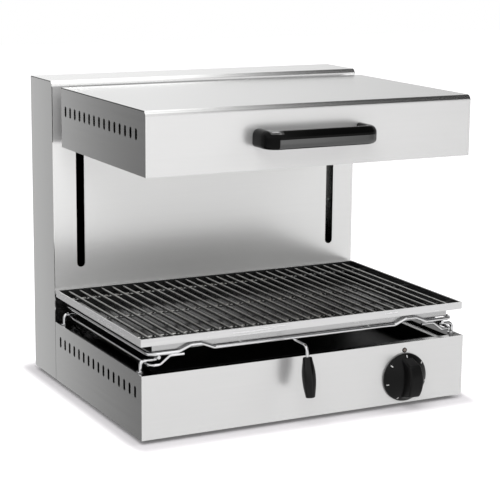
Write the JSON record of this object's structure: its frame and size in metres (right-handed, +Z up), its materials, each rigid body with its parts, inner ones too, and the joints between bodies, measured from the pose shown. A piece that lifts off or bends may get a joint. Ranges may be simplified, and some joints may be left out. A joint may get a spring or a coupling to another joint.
{
  "type": "lift salamander grill",
  "caption": "Counter-top electric salamander grill: a heating hood with a bow handle rides up and down a rear column over a bar grate, fat pan and pull-out wire rack on a low base.",
  "frame": {"origin": "on the floor under the middle of the whole part's bounding box", "axes": "+X to the right seen from the front, +Y to the back column, +Z up"},
  "size_m": [0.6, 0.5594, 0.535],
  "materials": {
    "stainless_sheet": "satin",
    "inner_steel": "satin",
    "black_enamel": "gloss",
    "chrome_wire": "polished",
    "bright_rod": "polished",
    "fasteners": "satin",
    "grate_steel": "satin",
    "reflector_steel": "gloss",
    "element_sheath": "matte",
    "mineral_wool": "matte",
    "ceramic": "satin",
    "black_gloss": "gloss",
    "black_matte": "satin",
    "foot_rubber": "matte",
    "lamp_amber": "gloss",
    "bush_bronze": "satin",
    "pulley_nylon": "satin",
    "wire_rope": "satin",
    "weight_steel": "matte"
  },
  "bodies": {
    "cabinet": {"base_front_panel": "stainless_sheet", "base_side_left": "stainless_sheet", "base_side_right": "stainless_sheet", "base_floor": "inner_steel", "base_feet": "foot_rubber", "drip_tray": "black_enamel", "column_front": "stainless_sheet", "column_side_left": "stainless_sheet", "column_side_right": "stainless_sheet", "column_rear_cover": "stainless_sheet", "rear_cover_screws": "fasteners", "guide_rods": "bright_rod", "weight_rods": "bright_rod", "lower_rod_bracket": "inner_steel", "upper_rod_bracket": "inner_steel", "pulley_brackets": "inner_steel", "pulley_axles": "bright_rod", "rope_turns": "wire_rope", "rack_rail_left": "chrome_wire", "rack_rail_right": "chrome_wire", "rail_leg_washers": "fasteners", "rail_leg_nuts": "fasteners", "power_regulator": "black_matte", "regulator_nut": "fasteners", "pilot_lamp_lens": "lamp_amber", "pilot_lamp_body": "black_matte", "cable_gland": "black_matte", "gland_nut": "black_matte", "terminal_block": "ceramic"},
    "hood": {"hood_cover": "stainless_sheet", "hood_side_left": "stainless_sheet", "hood_side_right": "stainless_sheet", "hood_back": "stainless_sheet", "reflector": "reflector_steel", "insulation_slab": "mineral_wool", "heating_elements": "element_sheath", "element_supports": "inner_steel", "element_insulators": "ceramic", "hood_handle": "black_gloss", "handle_screws": "fasteners", "hood_arm_left": "inner_steel", "hood_arm_right": "inner_steel", "arm_bolts": "fasteners", "carriage_plate": "inner_steel", "carriage_blocks": "inner_steel", "guide_bushes": "bush_bronze", "rope_anchors": "inner_steel", "rope_front_runs": "wire_rope"},
    "counterweight_bar": {"counterweight": "weight_steel", "rope_rear_runs": "wire_rope"},
    "pulley_left": {"rope_pulley_left": "pulley_nylon"},
    "pulley_right": {"rope_pulley_right": "pulley_nylon"},
    "knob": {"dial_knob": "black_matte", "regulator_shaft": "bright_rod"},
    "rack": {"slide_frame": "chrome_wire", "pull_grip": "black_matte", "fat_pan": "grate_steel"},
    "grate": {"grate_band": "grate_steel", "grate_bars": "grate_steel", "grate_cross_wires": "grate_steel"}
  },
  "joints": [
    {"name": "hood_lift", "type": "slide", "parent": "cabinet", "child": "hood", "axis": [0, 0, 1], "range_m": [-0.21, 0], "deforming": ["rope_front_runs"]},
    {"name": "counterweight_run", "type": "slide", "parent": "cabinet", "child": "counterweight_bar", "axis": [0, 0, 1], "range_m": [0, 0.21], "deforming": ["rope_rear_runs"]},
    {"name": "pulley_left_turn", "type": "hinge", "parent": "cabinet", "child": "pulley_left", "pos_m": [-0.06, 0.21175, 0.482], "axis": [1, 0, 0], "range_deg": [0, 575]},
    {"name": "pulley_right_turn", "type": "hinge", "parent": "cabinet", "child": "pulley_right", "pos_m": [0.06, 0.21175, 0.482], "axis": [1, 0, 0], "range_deg": [0, 575]},
    {"name": "knob_turn", "type": "hinge", "parent": "cabinet", "child": "knob", "pos_m": [0.182, -0.22325, 0.0535], "axis": [0, 1, 0], "range_deg": [0, 309]},
    {"name": "rack_pull", "type": "slide", "parent": "cabinet", "child": "rack", "axis": [0, -1, 0], "range_m": [0, 0.2]},
    {"name": "grate_lift", "type": "slide", "parent": "rack", "child": "grate", "axis": [0, 0, 1], "range_m": [0, 0.03]}
  ],
  "couplings": [
    {"joint": "counterweight_run", "follows": "hood_lift", "ratio": -1},
    {"joint": "pulley_left_turn", "follows": "hood_lift", "rad_per_m": -47.619},
    {"joint": "pulley_right_turn", "follows": "hood_lift", "rad_per_m": -47.619}
  ]
}
